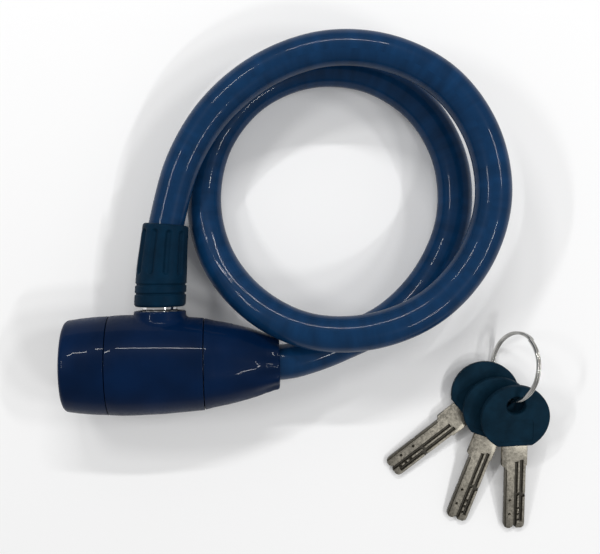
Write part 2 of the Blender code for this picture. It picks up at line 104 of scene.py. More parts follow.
# Each key's hole, its turn about the upright and its dip towards the tip in degrees
KEYS = [
    ((149.7, -11.1, 4.7), 52.3, 4.4),
    ((150.8, -14.5, 8.65), 20.0, 9.25),
    ((154.05, -16.4, 13.1), -1.9, 14.8),
]
RING_AT = (154.5, -3.5, 11.9)
RING_R = 11.8
RING_PITCH = 0.78
RING_TURN = -9.0
RING_TILT = -65.0
RING_START = 60.0
# The cable's centre line, out of the boot and round to the grip
ROUTE = [
    (58.0, 0.0, 17.0), (66.0, 0.0, 17.0), (72.0, 0.0, 17.0), (80.0, 1.2, 16.7), (93.4, 5.6, 14.9),
    (112.4, 14.4, 10.9), (127.1, 29.2, 7.5), (135.3, 48.5, 6.3), (134.3, 69.6, 6.1), (124.0, 87.9, 6.1),
    (106.2, 99.2, 6.1), (85.2, 100.9, 6.1), (65.8, 92.8, 6.1), (52.4, 76.5, 6.2), (47.9, 56.1, 7.8),
    (52.2, 36.2, 13.3), (64.4, 20.5, 20.6), (82.3, 11.3, 26.2), (103.5, 10.9, 27.0), (123.1, 18.7, 26.9),
    (137.5, 34.1, 26.7), (144.1, 54.1, 26.6), (140.9, 75.0, 26.5), (129.1, 92.5, 26.2), (110.7, 102.7, 25.7),
    (89.7, 104.8, 24.8), (69.5, 98.5, 23.3), (52.8, 85.7, 21.3), (41.4, 68.1, 18.9),
]
# Each row of lamps, a metre from the middle: name, first and last azimuth from +X, tilt from overhead, count,
# a lamp's length round the middle and its width in metres, and its power in watts
STUDIO_LIGHTS = [
    ("lamp_top", 90, 90, 42, 1, 0.46, 0.026, 2.7),
    ("lamp_left", 132, 172, 42, 2, 0.24, 0.026, 1.4),
    ("lamp_right", -42, 18, 37, 3, 0.18, 0.028, 1.15),
]
SKY_STRENGTH = 0.36
FLOOR_HALF = 3.0
CAMERA_AT = (59.8, 36.44, 343.0)
CAMERA_TURN = -0.98
CAMERA_LENS = 57.5
CAMERA_SHIFT = (0.1017, -0.035)
TUBE_RINGS = 380
TUBE_SIDES = 44
CURVE_STEPS = 24


def world(x, y, z):
    return ORIGIN + Vector((x, y, z)) * MM


ALONG_X = Matrix.Rotation(math.radians(90), 4, "Y")
ALONG_Y = Matrix.Rotation(math.radians(-90), 4, "X")
BARREL = Matrix.Translation(world(0, 0, AXIS_Z)) @ ALONG_X
PLUG = Matrix.Translation(world(SOCKET_X, 0, AXIS_Z)) @ ALONG_Y


def lean(y):
    """How far the grip leans towards +X at this y."""
    s = max(0.0, y - GRIP_Y)
    return LEAN_SLOPE * s + LEAN_CURVE * s * s


# ---- Meshes ----

def add(name, mesh, place=None):
    obj = bpy.data.objects.new(name, mesh)
    bpy.context.scene.collection.objects.link(obj)
    if place is not None:
        obj.matrix_world = place
    return obj


def scratch(name, mesh, place=None):
    """A cutter, removed once it has been used."""
    return add("cutter_" + name, mesh, place)


def finish_mesh(mesh, sharp=35.0):
    mesh.shade_smooth()
    mesh.set_sharp_from_angle(angle=math.radians(sharp))
    return mesh


def rounded(corners, steps=5):
    """The corners (x, y, fillet radius) as points, with an arc in place of each corner that has a radius."""
    out = []
    for i, corner in enumerate(corners):
        here = Vector(corner[:2])
        radius = corner[2] if len(corner) > 2 else 0.0
        if radius == 0.0:
            out.append(here)
            continue
        before = (Vector(corners[i - 1][:2]) - here).normalized()
        after = (Vector(corners[(i + 1) % len(corners)][:2]) - here).normalized()
        half = before.angle(after) / 2
        start = here + before * radius / math.tan(half)
        centre = here + (before + after).normalized() * radius / math.sin(half)
        spoke = start - centre
        sweep = spoke.angle_signed(here + after * radius / math.tan(half) - centre)
        for k in range(steps + 1):
            out.append(centre + Matrix.Rotation(-sweep * k / steps, 2) @ spoke)
    return out


def skin(name, rows, closed_rows=True, caps=False):
    """A mesh from rows of points that all have the same count; each row is a closed ring."""
    shape = bmesh.new()
    made = [[shape.verts.new(p) for p in row] for row in rows]
    pairs = list(zip(made, made[1:]))
    if closed_rows:
        pairs.append((made[-1], made[0]))
    for a, b in pairs:
        for i in range(len(a)):
            j = (i + 1) % len(a)
            shape.faces.new((a[i], a[j], b[j], b[i]))
    if caps:
        shape.faces.new(made[0])
        shape.faces.new(made[-1][::-1])
    bmesh.ops.recalc_face_normals(shape, faces=shape.faces)
    mesh = bpy.data.meshes.new(name)
    shape.to_mesh(mesh)
    shape.free()
    return mesh


def lathe(name, corners, steps=96, bend=None, wave=None):
    """A turned ring or, when its section starts and ends on the axis, a solid. Heights run along local Z."""
    points = rounded(corners)
    solid = corners[0][0] == 0 and corners[-1][0] == 0
    rows = []
    for p in points:
        if solid and p.x < 1e-6:
            continue
        row = []
        for k in range(steps):
            angle = TAU * k / steps
            radius = wave(p.x, p.y, angle) if wave else p.x
            row.append(Vector((radius * math.cos(angle), radius * math.sin(angle), p.y)) * MM)
        rows.append(row)
    mesh = skin(name, rows, closed_rows=not solid, caps=solid)
    if bend:
        for vertex in mesh.vertices:
            vertex.co = bend(vertex.co)
    return finish_mesh(mesh)


def box_mesh(name, low, high):
    shape = bmesh.new()
    bmesh.ops.create_cube(shape, size=1.0)
    low, high = Vector(low), Vector(high)
    bmesh.ops.scale(shape, vec=(high - low) * MM, verts=shape.verts)
    bmesh.ops.translate(shape, vec=(high + low) / 2 * MM, verts=shape.verts)
    mesh = bpy.data.meshes.new(name)
    shape.to_mesh(mesh)
    shape.free()
    return mesh


def apply_modifiers(obj, sharp=35.0):
    bpy.context.view_layer.update()
    graph = bpy.context.evaluated_depsgraph_get()
    mesh = bpy.data.meshes.new_from_object(obj.evaluated_get(graph))
    obj.modifiers.clear()
    obj.data = finish_mesh(mesh, sharp)
    return obj


def combine(obj, cutters, operation="DIFFERENCE", sharp=35.0):
    for cutter in cutters:
        modifier = obj.modifiers.new("cut", "BOOLEAN")
        modifier.operation = operation
        modifier.object = cutter
        modifier.solver = "EXACT"
    apply_modifiers(obj, sharp)
    for cutter in cutters:
        bpy.data.objects.remove(cutter)
    return obj


def bevelled(obj, width, segments=3, angle=40.0):
    edge = obj.modifiers.new("edges", "BEVEL")
    edge.width = width * MM
    edge.segments = segments
    edge.limit_method = "ANGLE"
    edge.angle_limit = math.radians(angle)
    return apply_modifiers(obj)


def arc(radius, start, end, count, centre=(0.0, 0.0)):
    angles = [math.radians(start + (end - start) * i / (count - 1)) for i in range(count)]
    return [(centre[0] + radius * math.cos(a), centre[1] + radius * math.sin(a)) for a in angles]


def plate(name, outline, low, high):
    """A flat piece between two heights, from an outline in millimetres."""
    shape = bmesh.new()
    rows = [[shape.verts.new(Vector((x, y, z)) * MM) for x, y in outline] for z in (low, high)]
    shape.faces.new(rows[0])
    shape.faces.new(rows[1])
    for i in range(len(outline)):
        j = (i + 1) % len(outline)
        shape.faces.new((rows[0][i], rows[0][j], rows[1][j], rows[1][i]))
    bmesh.ops.recalc_face_normals(shape, faces=shape.faces)
    mesh = bpy.data.meshes.new(name)
    shape.to_mesh(mesh)
    shape.free()
    return mesh


# ---- Materials ----

class Paint:
    """A node material with a Principled shader, and short calls to build its patterns."""

    def __init__(self, name, colour, roughness, metallic=0.0):
        self.material = bpy.data.materials.new(name)
        self.material.use_nodes = True
        self.nodes = self.material.node_tree.nodes
        self.links = self.material.node_tree.links
        self.shader = self.nodes["Principled BSDF"]
        self.shader.inputs["Base Color"].default_value = (*colour, 1.0)
        self.shader.inputs["Roughness"].default_value = roughness
        self.shader.inputs["Metallic"].default_value = metallic
        self.colour = colour

    def node(self, kind, inputs=None, **settings):
        made = self.nodes.new(kind)
        for key, value in settings.items():
            setattr(made, key, value)
        for key, value in (inputs or {}).items():
            if isinstance(value, bpy.types.NodeSocket):
                self.links.new(value, made.inputs[key])
            else:
                made.inputs[key].default_value = value
        return made

    def coat(self, weight, roughness):
        self.shader.inputs["Coat Weight"].default_value = weight
        self.shader.inputs["Coat Roughness"].default_value = roughness

    def object_coords(self):
        return self.node("ShaderNodeTexCoord").outputs["Object"]

    def uv(self):
        return self.node("ShaderNodeTexCoord").outputs["UV"]

    def scaled(self, vector, scale):
        return self.node("ShaderNodeMapping", {"Vector": vector, "Scale": scale}).outputs["Vector"]

    def noise(self, vector, scale, detail=3.0, roughness=0.5):
        made = self.node("ShaderNodeTexNoise", {"Vector": vector, "Scale": scale, "Detail": detail})
        made.inputs["Roughness"].default_value = roughness
        return made.outputs["Fac"]

    def wave(self, vector, scale, direction="X", distortion=0.0):
        made = self.node("ShaderNodeTexWave", {"Vector": vector, "Scale": scale, "Distortion": distortion},
                         bands_direction=direction)
        return made.outputs["Fac"]

    def span(self, value, low, high, from_low=0.0, from_high=1.0):
        made = self.node("ShaderNodeMapRange", {"Value": value})
        made.inputs["From Min"].default_value = from_low
        made.inputs["From Max"].default_value = from_high
        made.inputs["To Min"].default_value = low
        made.inputs["To Max"].default_value = high
        return made.outputs["Result"]

    def math(self, operation, a, b):
        return self.node("ShaderNodeMath", {0: a, 1: b}, operation=operation).outputs[0]

    def mix(self, factor, a, b):
        made = self.node("ShaderNodeMix", data_type="RGBA")
        for socket, value in ((made.inputs["Factor"], factor), (made.inputs[6], a), (made.inputs[7], b)):
            if isinstance(value, bpy.types.NodeSocket):
                self.links.new(value, socket)
            else:
                socket.default_value = value if isinstance(value, float) else (*value, 1.0)
        return made.outputs[2]

    def base(self, colour):
        self.links.new(colour, self.shader.inputs["Base Color"])

    def rough(self, value):
        self.links.new(value, self.shader.inputs["Roughness"])

    def bump(self, height, strength, distance):
        inputs = {"Height": height, "Strength": strength, "Distance": distance * MM}
        made = self.node("ShaderNodeBump", inputs)
        self.links.new(made.outputs["Normal"], self.shader.inputs["Normal"])
        if self.shader.inputs["Coat Weight"].default_value > 0:
            self.links.new(made.outputs["Normal"], self.shader.inputs["Coat Normal"])


def shade(colour, factor):
    return tuple(c * factor for c in colour)


def housing_paint():
    """Glossy moulded plastic: faint cloudiness, fine orange peel and a few hairline scuffs."""
    navy = (0.0008, 0.0095, 0.0380)
    paint = Paint("housing_navy", navy, 0.38)
    paint.shader.inputs["Specular IOR Level"].default_value = 0.03
    paint.coat(0.11, 0.02)
    where = paint.object_coords()
    cloud = paint.noise(where, 60.0, 2.0)
    paint.base(paint.mix(paint.span(cloud, 0.0, 1.0, 0.35, 0.65), shade(navy, 0.82), shade(navy, 1.22)))
    scuffs = paint.noise(paint.scaled(where, (90.0, 1400.0, 1400.0)), 1.0, 4.0)
    paint.rough(paint.span(scuffs, 0.32, 0.50, 0.4, 0.75))
    peel = paint.noise(where, 900.0, 2.0)
    paint.bump(peel, 0.05, 0.004)
    return paint.material


def sheath_paint():
    """Clear-coated soft PVC over steel strands: strand shadows, ripples along the length and tiny specks."""
    navy = (0.0035, 0.0290, 0.0850)
    paint = Paint("sheath_navy", navy, 0.34)
    paint.coat(0.20, 0.02)
    paint.shader.inputs["Specular IOR Level"].default_value = 0.05
    uv = paint.uv()
    twist = (0.0, 0.0, math.radians(STRAND_ANGLE))
    turned = paint.node("ShaderNodeMapping", {"Vector": uv, "Rotation": twist}).outputs["Vector"]
    strands = paint.wave(turned, 60.0)
    drift = paint.noise(paint.scaled(uv, (9.0, 2.0, 1.0)), 1.0, 3.0)
    tone = paint.mix(paint.span(drift, 0.0, 1.0, 0.3, 0.7), shade(navy, 0.80), shade(navy, 1.25))
    tone = paint.mix(paint.math("MULTIPLY", strands, 0.16), tone, shade(navy, 0.45))
    specks = paint.noise(paint.scaled(uv, (900.0, 300.0, 1.0)), 1.0, 1.0)
    tone = paint.mix(paint.span(specks, 0.0, 0.7, 0.80, 0.84), tone, (0.10, 0.16, 0.22))
    paint.base(tone)
    ripple = paint.wave(paint.scaled(uv, (1.0, 0.04, 1.0)), 480.0, distortion=2.5)
    patches = paint.span(paint.noise(paint.scaled(uv, (14.0, 3.0, 1.0)), 1.0, 2.0), 0.0, 1.0, 0.48, 0.62)
    lines = paint.noise(paint.scaled(uv, (8.0, 120.0, 1.0)), 1.0, 2.0)
    height = paint.math("ADD", paint.math("MULTIPLY", ripple, paint.math("MULTIPLY", patches, 0.5)),
                        paint.math("MULTIPLY", lines, 0.5))
    paint.bump(height, 0.20, 0.012)
    return paint.material


def rubber_paint():
    """Matte moulded rubber with a fine spark-eroded grain."""
    teal = (0.0006, 0.0140, 0.0330)
    paint = Paint("grip_rubber", teal, 0.55)
    paint.shader.inputs["Specular IOR Level"].default_value = 0.05
    paint.shader.inputs["Sheen Weight"].default_value = 0.02
    where = paint.object_coords()
    cloud = paint.noise(where, 220.0, 4.0)
    paint.base(paint.mix(paint.span(cloud, 0.0, 1.0, 0.3, 0.7), shade(teal, 0.80), shade(teal, 1.25)))
    grain = paint.noise(where, 3200.0, 3.0)
    paint.rough(paint.span(grain, 0.45, 0.68, 0.3, 0.7))
    paint.bump(grain, 0.25, 0.03)
    return paint.material


def head_paint():
    """Satin moulded plastic with eroded texture, slightly worn and paler in small rubbed spots."""
    navy = (0.0030, 0.0165, 0.0310)
    paint = Paint("head_navy", navy, 0.55)
    paint.shader.inputs["Specular IOR Level"].default_value = 0.05
    where = paint.object_coords()
    cloud = paint.noise(where, 260.0, 5.0)
    tone = paint.mix(paint.span(cloud, 0.0, 1.0, 0.3, 0.72), shade(navy, 0.78), shade(navy, 1.30))
    rub = paint.noise(where, 700.0, 6.0, 0.7)
    tone = paint.mix(paint.span(rub, 0.0, 0.55, 0.68, 0.78), tone, (0.055, 0.085, 0.115))
    paint.base(tone)
    grain = paint.noise(where, 2600.0, 3.0)
    paint.rough(paint.span(grain, 0.48, 0.66, 0.3, 0.7))
    paint.bump(grain, 0.20, 0.03)
    return paint.material


def nickel_paint(name="nickel", tint=(0.50, 0.465, 0.39)):
    """Nickel-plated brass: speckled plating, milling lines, dull patches, darker towards the tip, and painted
    shade in the cuts and on the blade's sides.
    """
    paint = Paint(name, tint, 0.28, 1.0)
    where = paint.object_coords()
    speckle = paint.noise(where, 1500.0, 5.0, 0.75)
    cloud = paint.noise(where, 180.0, 3.0)
    tone = paint.mix(paint.span(speckle, 0.0, 1.0, 0.38, 0.62), shade(tint, 0.50), shade(tint, 1.12))
    tone = paint.mix(paint.span(cloud, 0.0, 0.5, 0.45, 0.75), tone, shade(tint, 0.50))
    spot = paint.node("ShaderNodeSeparateXYZ", {"Vector": where}).outputs
    # The blade's colour grows darker towards its tip.
    tone = paint.mix(paint.span(spot["Y"], 0.45, 0.0, -0.046, -0.022), tone, shade(tint, 0.30))
    # Painted shade: on the blade, everything below the faces (lanes, cuts, side walls) is painted near black.
    recess_shade_depth = paint.span(paint.math("ABSOLUTE", spot["Z"], 0.0), 0.85, 0.0, 0.00055, 0.00092)
    painted_cut_shade = paint.math("MULTIPLY", recess_shade_depth, paint.span(spot["Y"], 1.0, 0.0, -0.0205, -0.0195))
    paint.base(paint.mix(painted_cut_shade, tone, shade(tint, 0.08)))
    milled = paint.noise(paint.scaled(where, (2600.0, 120.0, 2600.0)), 1.0, 3.0)
    paint.rough(paint.span(speckle, 0.30, 0.52, 0.35, 0.65))
    height = paint.math("ADD", paint.math("MULTIPLY", speckle, 0.7), paint.math("MULTIPLY", milled, 0.4))
    paint.bump(height, 0.25, 0.012)
    return paint.material


def metal_paint(name, tint, roughness, streak=0.25, scale=(60.0, 60.0, 1800.0)):
    """Bare or plated metal with drawn or turned streaks and slight tarnish."""
    paint = Paint(name, tint, roughness, 1.0)
    where = paint.object_coords()
    streaks = paint.noise(paint.scaled(where, scale), 1.0, 3.0)
    tarnish = paint.noise(where, 240.0, 4.0)
    paint.base(paint.mix(paint.span(tarnish, 0.0, 1.0, 0.35, 0.75), tint, shade(tint, 0.62)))
    paint.rough(paint.span(streaks, roughness * 0.7, roughness * 1.5, 0.3, 0.7))
    paint.bump(streaks, streak, 0.01)
    return paint.material


def floor_paint():
    """Smooth matte paper, white with the faintest mottling."""
    paint = Paint("floor_paper", (0.93, 0.93, 0.93), 0.7)
    cloud = paint.noise(paint.object_coords(), 12.0, 3.0)
    paint.base(paint.mix(cloud, (0.925, 0.925, 0.925), (0.935, 0.935, 0.935)))
    return paint.material


MATERIALS = {
    "housing_navy": housing_paint(),
    "sheath_navy": sheath_paint(),
    "grip_rubber": rubber_paint(),
    "head_navy": head_paint(),
    "nickel": nickel_paint(),
    "chrome": metal_paint("chrome", (0.86, 0.86, 0.87), 0.07, 0.08),
    "ring_steel": metal_paint("ring_steel", (0.66, 0.65, 0.62), 0.16, 0.3),
    "cast_zinc": metal_paint("cast_zinc", (0.48, 0.49, 0.50), 0.5, 0.5, (700.0, 700.0, 700.0)),
    "steel": metal_paint("steel", (0.55, 0.55, 0.55), 0.3, 0.3),
    "tumbler_brass": metal_paint("tumbler_brass", (0.72, 0.52, 0.24), 0.28, 0.3),
}


def dress(obj, slot):
    obj.data.materials.clear()
    obj.data.materials.append(MATERIALS[slot])
    return obj


# ---- Camera, light and floor ----

def camera():
    """Straight down on the lock, turned by a degree."""
    data = bpy.data.cameras.new("camera")
    data.lens = CAMERA_LENS
    data.sensor_width = 36.0
    data.shift_x, data.shift_y = CAMERA_SHIFT
    obj = bpy.data.objects.new("camera", data)
    bpy.context.scene.collection.objects.link(obj)
    obj.location = world(*CAMERA_AT)
    obj.rotation_euler = (0.0, 0.0, math.radians(CAMERA_TURN))
    bpy.context.scene.camera = obj


def strip_light(name, place, target, length, width, power):
    data = bpy.data.lights.new(name, "AREA")
    data.shape = "RECTANGLE"
    data.size = length
    data.size_y = width
    data.energy = power
    obj = bpy.data.objects.new(name, data)
    bpy.context.scene.collection.objects.link(obj)
    obj.location = place
    direction = Vector(target) - Vector(place)
    obj.rotation_euler = direction.to_track_quat("-Z", "Y").to_euler()
    return obj


def studio():
    middle = world(80, 40, 0)
    floor = bpy.data.meshes.new("floor")
    corners = [(x * FLOOR_HALF, y * FLOOR_HALF, 0) for x, y in ((-1, -1), (1, -1), (1, 1), (-1, 1))]
    floor.from_pydata(corners, [], [(0, 1, 2, 3)])
    obj = add("floor", floor)
    obj.data.materials.append(floor_paint())
    sky = bpy.data.worlds.new("studio")
    sky.use_nodes = True
    background = sky.node_tree.nodes["Background"]
    background.inputs["Color"].default_value = (1.0, 1.0, 1.0, 1.0)
    background.inputs["Strength"].default_value = SKY_STRENGTH
    bpy.context.scene.world = sky
    for name, first, last, tilt, count, length, width, power in STUDIO_LIGHTS:
        for i in range(count):
            turn = math.radians(first + (last - first) * i / max(1, count - 1))
            off = math.radians(tilt)
            away = Vector((math.sin(off) * math.cos(turn), math.sin(off) * math.sin(turn), math.cos(off)))
            strip_light(f"{name}_{i + 1}", middle + away, middle, length, width, power)
    bpy.context.scene.view_settings.view_transform = "Standard"


# ---- Cable ----

def smooth_line(points, count):
    """Evenly spaced points on a Catmull-Rom curve through the given ones."""
    ends = [points[0] * 2 - points[1]] + points + [points[-1] * 2 - points[-2]]
    fine = []
    for a, b, c, d in zip(ends, ends[1:], ends[2:], ends[3:]):
        for k in range(CURVE_STEPS):
            t = k / CURVE_STEPS
            fine.append((b * 2 + (c - a) * t + (a * 2 - b * 5 + c * 4 - d) * t * t
                         + (b * 3 - a - c * 3 + d) * t ** 3) / 2)
    fine.append(points[-1])
    lengths = [0.0]
    for a, b in zip(fine, fine[1:]):
        lengths.append(lengths[-1] + (b - a).length)
    out = []
    k = 0
    for i in range(count):
        target = lengths[-1] * i / (count - 1)
        while k < len(fine) - 2 and lengths[k + 1] < target:
            k += 1
        part = (target - lengths[k]) / (lengths[k + 1] - lengths[k])
        out.append(fine[k].lerp(fine[k + 1], min(1.0, part)))
    return out, lengths[-1]


def cable():
    """The sheath as a fine tube along the route. Its UV is the length over UV_LENGTH, and the girth."""
    into_grip = [(SOCKET_X + lean(y), y, AXIS_Z) for y in (GRIP_TOP - 1.0, 42.0, 37.0)]
    route = [world(*p) for p in ROUTE + into_grip]
    line, length = smooth_line(route, TUBE_RINGS)
    shape = bmesh.new()
    layer = shape.loops.layers.uv.new("UVMap")
    side = Vector((0, 0, 1))
    rings = []
    for i, spot in enumerate(line):
        ahead = (line[min(i + 1, len(line) - 1)] - line[max(i - 1, 0)]).normalized()
        side = (side - ahead * side.dot(ahead)).normalized()
        across = ahead.cross(side)
        ring = []
        for k in range(TUBE_SIDES):
            a = TAU * k / TUBE_SIDES
            ring.append(shape.verts.new(spot + (side * math.cos(a) + across * math.sin(a)) * CABLE_R * MM))
        rings.append(ring)
    for i, (a, b) in enumerate(zip(rings, rings[1:])):
        for k in range(TUBE_SIDES):
            n = (k + 1) % TUBE_SIDES
            face = shape.faces.new((a[k], a[n], b[n], b[k]))
            for loop, (di, dk) in zip(face.loops, ((0, 0), (0, 1), (1, 1), (1, 0))):
                loop[layer].uv = ((i + di) / (len(line) - 1) * length / UV_LENGTH, (k + dk) / TUBE_SIDES)
            face.smooth = True
    shape.faces.new(rings[0])
    shape.faces.new(rings[-1][::-1])
    bmesh.ops.recalc_face_normals(shape, faces=shape.faces)
    mesh = bpy.data.meshes.new("cable")
    shape.to_mesh(mesh)
    shape.free()
    obj = dress(add("cable", mesh), "sheath_navy")
    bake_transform(obj)
    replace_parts(obj, "cable_sheath", "cable_core")
    return obj, line, length


# ---- Housing ----

def end_cap():
    outline = [(8.25, 0, 0.25), (15.3, 0, 1.9), (16.0, 5, 20.0), (16.5, 10, 20.0), (16.72, 15.1, 0.2)]
    outline += [(14.3, 15.1), (14.3, 2.2), (8.25, 2.2)]
    obj = dress(add("end_cap_skin", lathe("end_cap_skin", outline, 128), BARREL), "housing_navy")
    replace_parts(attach(obj, "housing"), "end_cap")


def barrel_radius(x):
    """The shell's radius along the housing, swelling to its middle and drawing in towards the boot."""
    table = [(15.3, 16.75), (19.0, 17.0), (24.0, 17.0), (29.0, 16.88), (34.0, 16.65), (41.0, 16.1)]
    table += [(47.3, 15.6)]
    for (a, ra), (b, rb) in zip(table, table[1:]):
        if x <= b:
            t = (x - a) / (b - a)
            return ra + (rb - ra) * t
    return table[-1][1]


def boss_solid(steps=96):
    """A ring round the socket: flared foot on the barrel, straight wall, rounded rim, bored mouth."""
    top, wall, mouth = BOSS_TOP, 8.85, SOCKET_MOUTH_R
    rows = []
    for k in range(steps):
        angle = TAU * k / steps
        cx, cz = math.cos(angle), math.sin(angle)

        def surface(rho):
            r = barrel_radius(SOCKET_X + rho * cx)
            return math.sqrt(max(0.0, r * r - (rho * cz) ** 2))

        foot = min(1.7, 0.75 * (top - 0.5 - surface(wall)))
        section = [(wall + foot + 0.8, surface(wall + foot + 0.8) - 0.12)]
        low = surface(wall + foot)
        for j in range(9):
            t = j / 8
            ends = ((wall + foot, low), (wall, surface(wall)), (wall, surface(wall) + foot))
            rho = (1 - t) ** 2 * ends[0][0] + 2 * t * (1 - t) * ends[1][0] + t * t * ends[2][0]
            y = (1 - t) ** 2 * ends[0][1] + 2 * t * (1 - t) * ends[1][1] + t * t * ends[2][1]
            section.append((rho, y))
        for j in range(7):
            a = math.radians(90 * j / 6)
            section.append((wall - 0.5 + 0.5 * math.cos(a), top - 0.5 + 0.5 * math.sin(a)))
        section += [(mouth + 0.25, top), (mouth, top - 0.25), (mouth, 12.5), (wall + foot + 0.8, 12.5)]
        rows.append([Vector((rho * cx, y, rho * cz)) * MM for rho, y in section])
    return skin("boss", rows)


def barrel_shell():
    outline = [(14.25, 15.35), (16.75, 15.35, 0.2), (17.0, 19.0, 20.0), (17.0, 24.0, 20.0)]
    outline += [(16.65, 34.0, 20.0), (16.1, 41.0, 20.0), (15.6, 47.4, 0.2), (14.25, 47.4)]
    shell = add("barrel_skin", lathe("barrel_skin", outline, 160), BARREL)
    boss = scratch("boss", boss_solid(), Matrix.Translation(world(SOCKET_X, 0, AXIS_Z)))
    mouth = [(0, 8.0), (SOCKET_MOUTH_R, 8.0), (SOCKET_MOUTH_R, 25.0), (0, 25.0)]
    bore = scratch("mouth", lathe("mouth", mouth, 96), PLUG)
    combine(shell, [bore])
    combine(shell, [boss], "UNION", 32.0)
    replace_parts(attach(dress(shell, "housing_navy"), "housing"), "barrel_shell")


def boot_flutes(radius, height, angle):
    """Ten shallow flats fade in towards the boot's mouth."""
    depth = BOOT_FLUTE_DEPTH * max(0.0, min(1.0, (height - BOOT_FLUTES_X) / 14.0)) ** 1.4
    if radius < 8.0 or depth == 0.0:
        return radius
    return radius - depth * (0.5 - 0.5 * math.cos(BOOT_FLUTES * angle)) * (1.0 if radius > 8.9 else 0.6)


def boot_cone():
    outline = [(13.5, 47.65), (15.45, 47.65, 0.25), (14.6, 51.3, 12.0), (13.85, 55.4), (12.9, 59.5, 12.0)]
    outline += [(12.25, 62.2), (11.5, 64.9, 9.0), (10.95, 66.6), (10.3, 68.3, 6.0), (9.9, 69.8), (9.4, 71.2)]
    outline += [(9.15, 72.85, 0.9), (6.15, 72.85, 0.3), (6.15, 66.0), (9.0, 64.5), (11.0, 59.5), (12.6, 51.3)]
    obj = add("boot_skin", lathe("boot_skin", outline, 160, wave=boot_flutes), BARREL)
    dress(obj, "housing_navy")
    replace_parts(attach(obj, "housing"), "boot_cone")


def lock_face():
    """The cylinder's shell and plug, seen in the barrel's flat end and inside the keyway."""
    outline = [(6.15, -0.6, 0.2), (8.0, -0.6, 0.5), (8.0, 2.5), (11.0, 2.5), (11.0, 18.9), (6.15, 18.9)]
    shell = dress(add("cylinder_skin", lathe("cylinder_skin", outline, 96), BARREL), "nickel")
    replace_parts(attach(shell, "housing"), "cylinder_shell")
    outline = [(0, -0.6), (6.0, -0.6, 0.3), (6.0, 18.8), (4.7, 18.8), (4.7, 20.3), (6.0, 20.3), (6.0, 21.2)]
    outline += [(0, 21.2)]
    plug = add("plug_skin", lathe("plug_skin", outline, 96), BARREL)
    face = Matrix.Translation(world(0, 0, AXIS_Z))
    keyway = scratch("keyway", box_mesh("keyway", (-3, -3.9, -1.2), (KEYWAY_DEPTH, 3.9, 1.2)), face)
    ward = scratch("ward", box_mesh("ward", (-3, -2.2, 0.5), (KEYWAY_DEPTH, -0.9, 2.0)), face)
    combine(plug, [keyway, ward])
    bevelled(plug, 0.12, 2, 50)
    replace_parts(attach(dress(plug, "nickel"), "cylinder"), "cylinder_plug")


# ---- Plug and grip ----

def bend_with_grip(co):
    """Bends the plug's rear over towards +X, each section turning with the bend."""
    y = co.z / MM
    slope = LEAN_SLOPE + 2 * LEAN_CURVE * (y - GRIP_Y) if y > GRIP_BEND_Y else 0.0
    slope *= min(1.0, max(0.0, y - GRIP_BEND_Y) / 8)
    return Vector((co.x + lean(y) * MM, co.y, co.z - 0.75 * slope * co.x))


def shackle_pin():
    outline = [(0, 27.0), (2.6, 27.0), (2.6, 21.4), (6.1, 21.4, 0.4), (6.1, 18.6, 0.4), (4.8, 18.6, 0.2)]
    outline += [(4.8, 2.2, 0.25), (2.8, 2.2, 0.3), (2.8, -2.2, 0.3), (4.8, -2.2, 0.25), (4.8, -5.4, 0.5)]
    outline += [(3.6, -6.8, 0.4), (0, -6.8)]
    pin = add("shackle_pin_skin", lathe("shackle_pin_skin", outline, 96, bend_with_grip), PLUG)
    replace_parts(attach(dress(pin, "chrome"), "shackle"), "shackle_pin")


def smoothstep(t):
    t = max(0.0, min(1.0, t))
    return t * t * (3 - 2 * t)


def grip_radius(y, angle):
    """Rounded ends, two raised bands between grooves at the foot, then long round-ended flutes."""
    table = [(GRIP_Y, 8.75), (23.6, 8.78), (27.2, 8.72), (33.0, 8.55), (40.0, 8.12), (GRIP_TOP, 7.75)]
    radius = table[-1][1]
    for (a, ra), (b, rb) in zip(table, table[1:]):
        if y <= b:
            radius = ra + (rb - ra) * (y - a) / (b - a)
            break
    for centre, half, depth in ((24.15, 0.42, 0.5), (27.25, 0.40, 0.45)):
        radius -= depth * (1 - smoothstep((abs(y - centre) - half * 0.3) / half))
    pitch = TAU / FLUTES
    off = ((angle - math.radians(FLUTE_ANGLE) + pitch / 2) % pitch - pitch / 2) * radius
    along = max(FLUTE_LOW - y, y - FLUTE_HIGH, 0.0)
    inside = math.hypot(off, along)
    radius -= FLUTE_DEPTH * (1 - smoothstep((inside - 0.25) / 1.15))
    foot, crown = y - GRIP_Y, GRIP_TOP - y
    for gap, fillet in ((foot, 1.1), (crown, 0.9)):
        if gap < fillet:
            radius -= fillet - math.sqrt(max(0.0, fillet * fillet - (fillet - gap) ** 2))
    return radius


def grip():
    steps, rows = 200, []
    span = GRIP_TOP - GRIP_Y
    ys = [GRIP_Y + span * 0.04 * (1 - math.cos(math.pi * i / 18)) for i in range(6)]
    ys += [GRIP_Y + 0.75 + (GRIP_TOP - GRIP_Y - 1.5) * i / 150 for i in range(151)]
    ys += [GRIP_TOP - 0.6, GRIP_TOP - 0.45, GRIP_TOP - 0.3, GRIP_TOP - 0.18, GRIP_TOP - 0.08, GRIP_TOP]
    ys = sorted(set(round(y, 4) for y in ys))
    bore = [(6.15, GRIP_TOP), (6.15, 36.0), (6.4, 28.0), (6.4, GRIP_Y)]
    for y in ys:
        row = []
        for k in range(steps):
            a = TAU * k / steps
            r = grip_radius(y, a)
            row.append(bend_with_grip(Vector((r * math.cos(a), r * math.sin(a), y)) * MM))
        rows.append(row)
    for r, y in bore:
        row = [bend_with_grip(Vector((r * math.cos(TAU * k / steps), r * math.sin(TAU * k / steps), y)) * MM)
               for k in range(steps)]
        rows.append(row)
    obj = add("grip_skin", finish_mesh(skin("grip_skin", rows), 50), PLUG)
    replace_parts(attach(dress(obj, "grip_rubber"), "shackle"), "grip_sleeve")
    return obj


# ---- Keys and ring ----

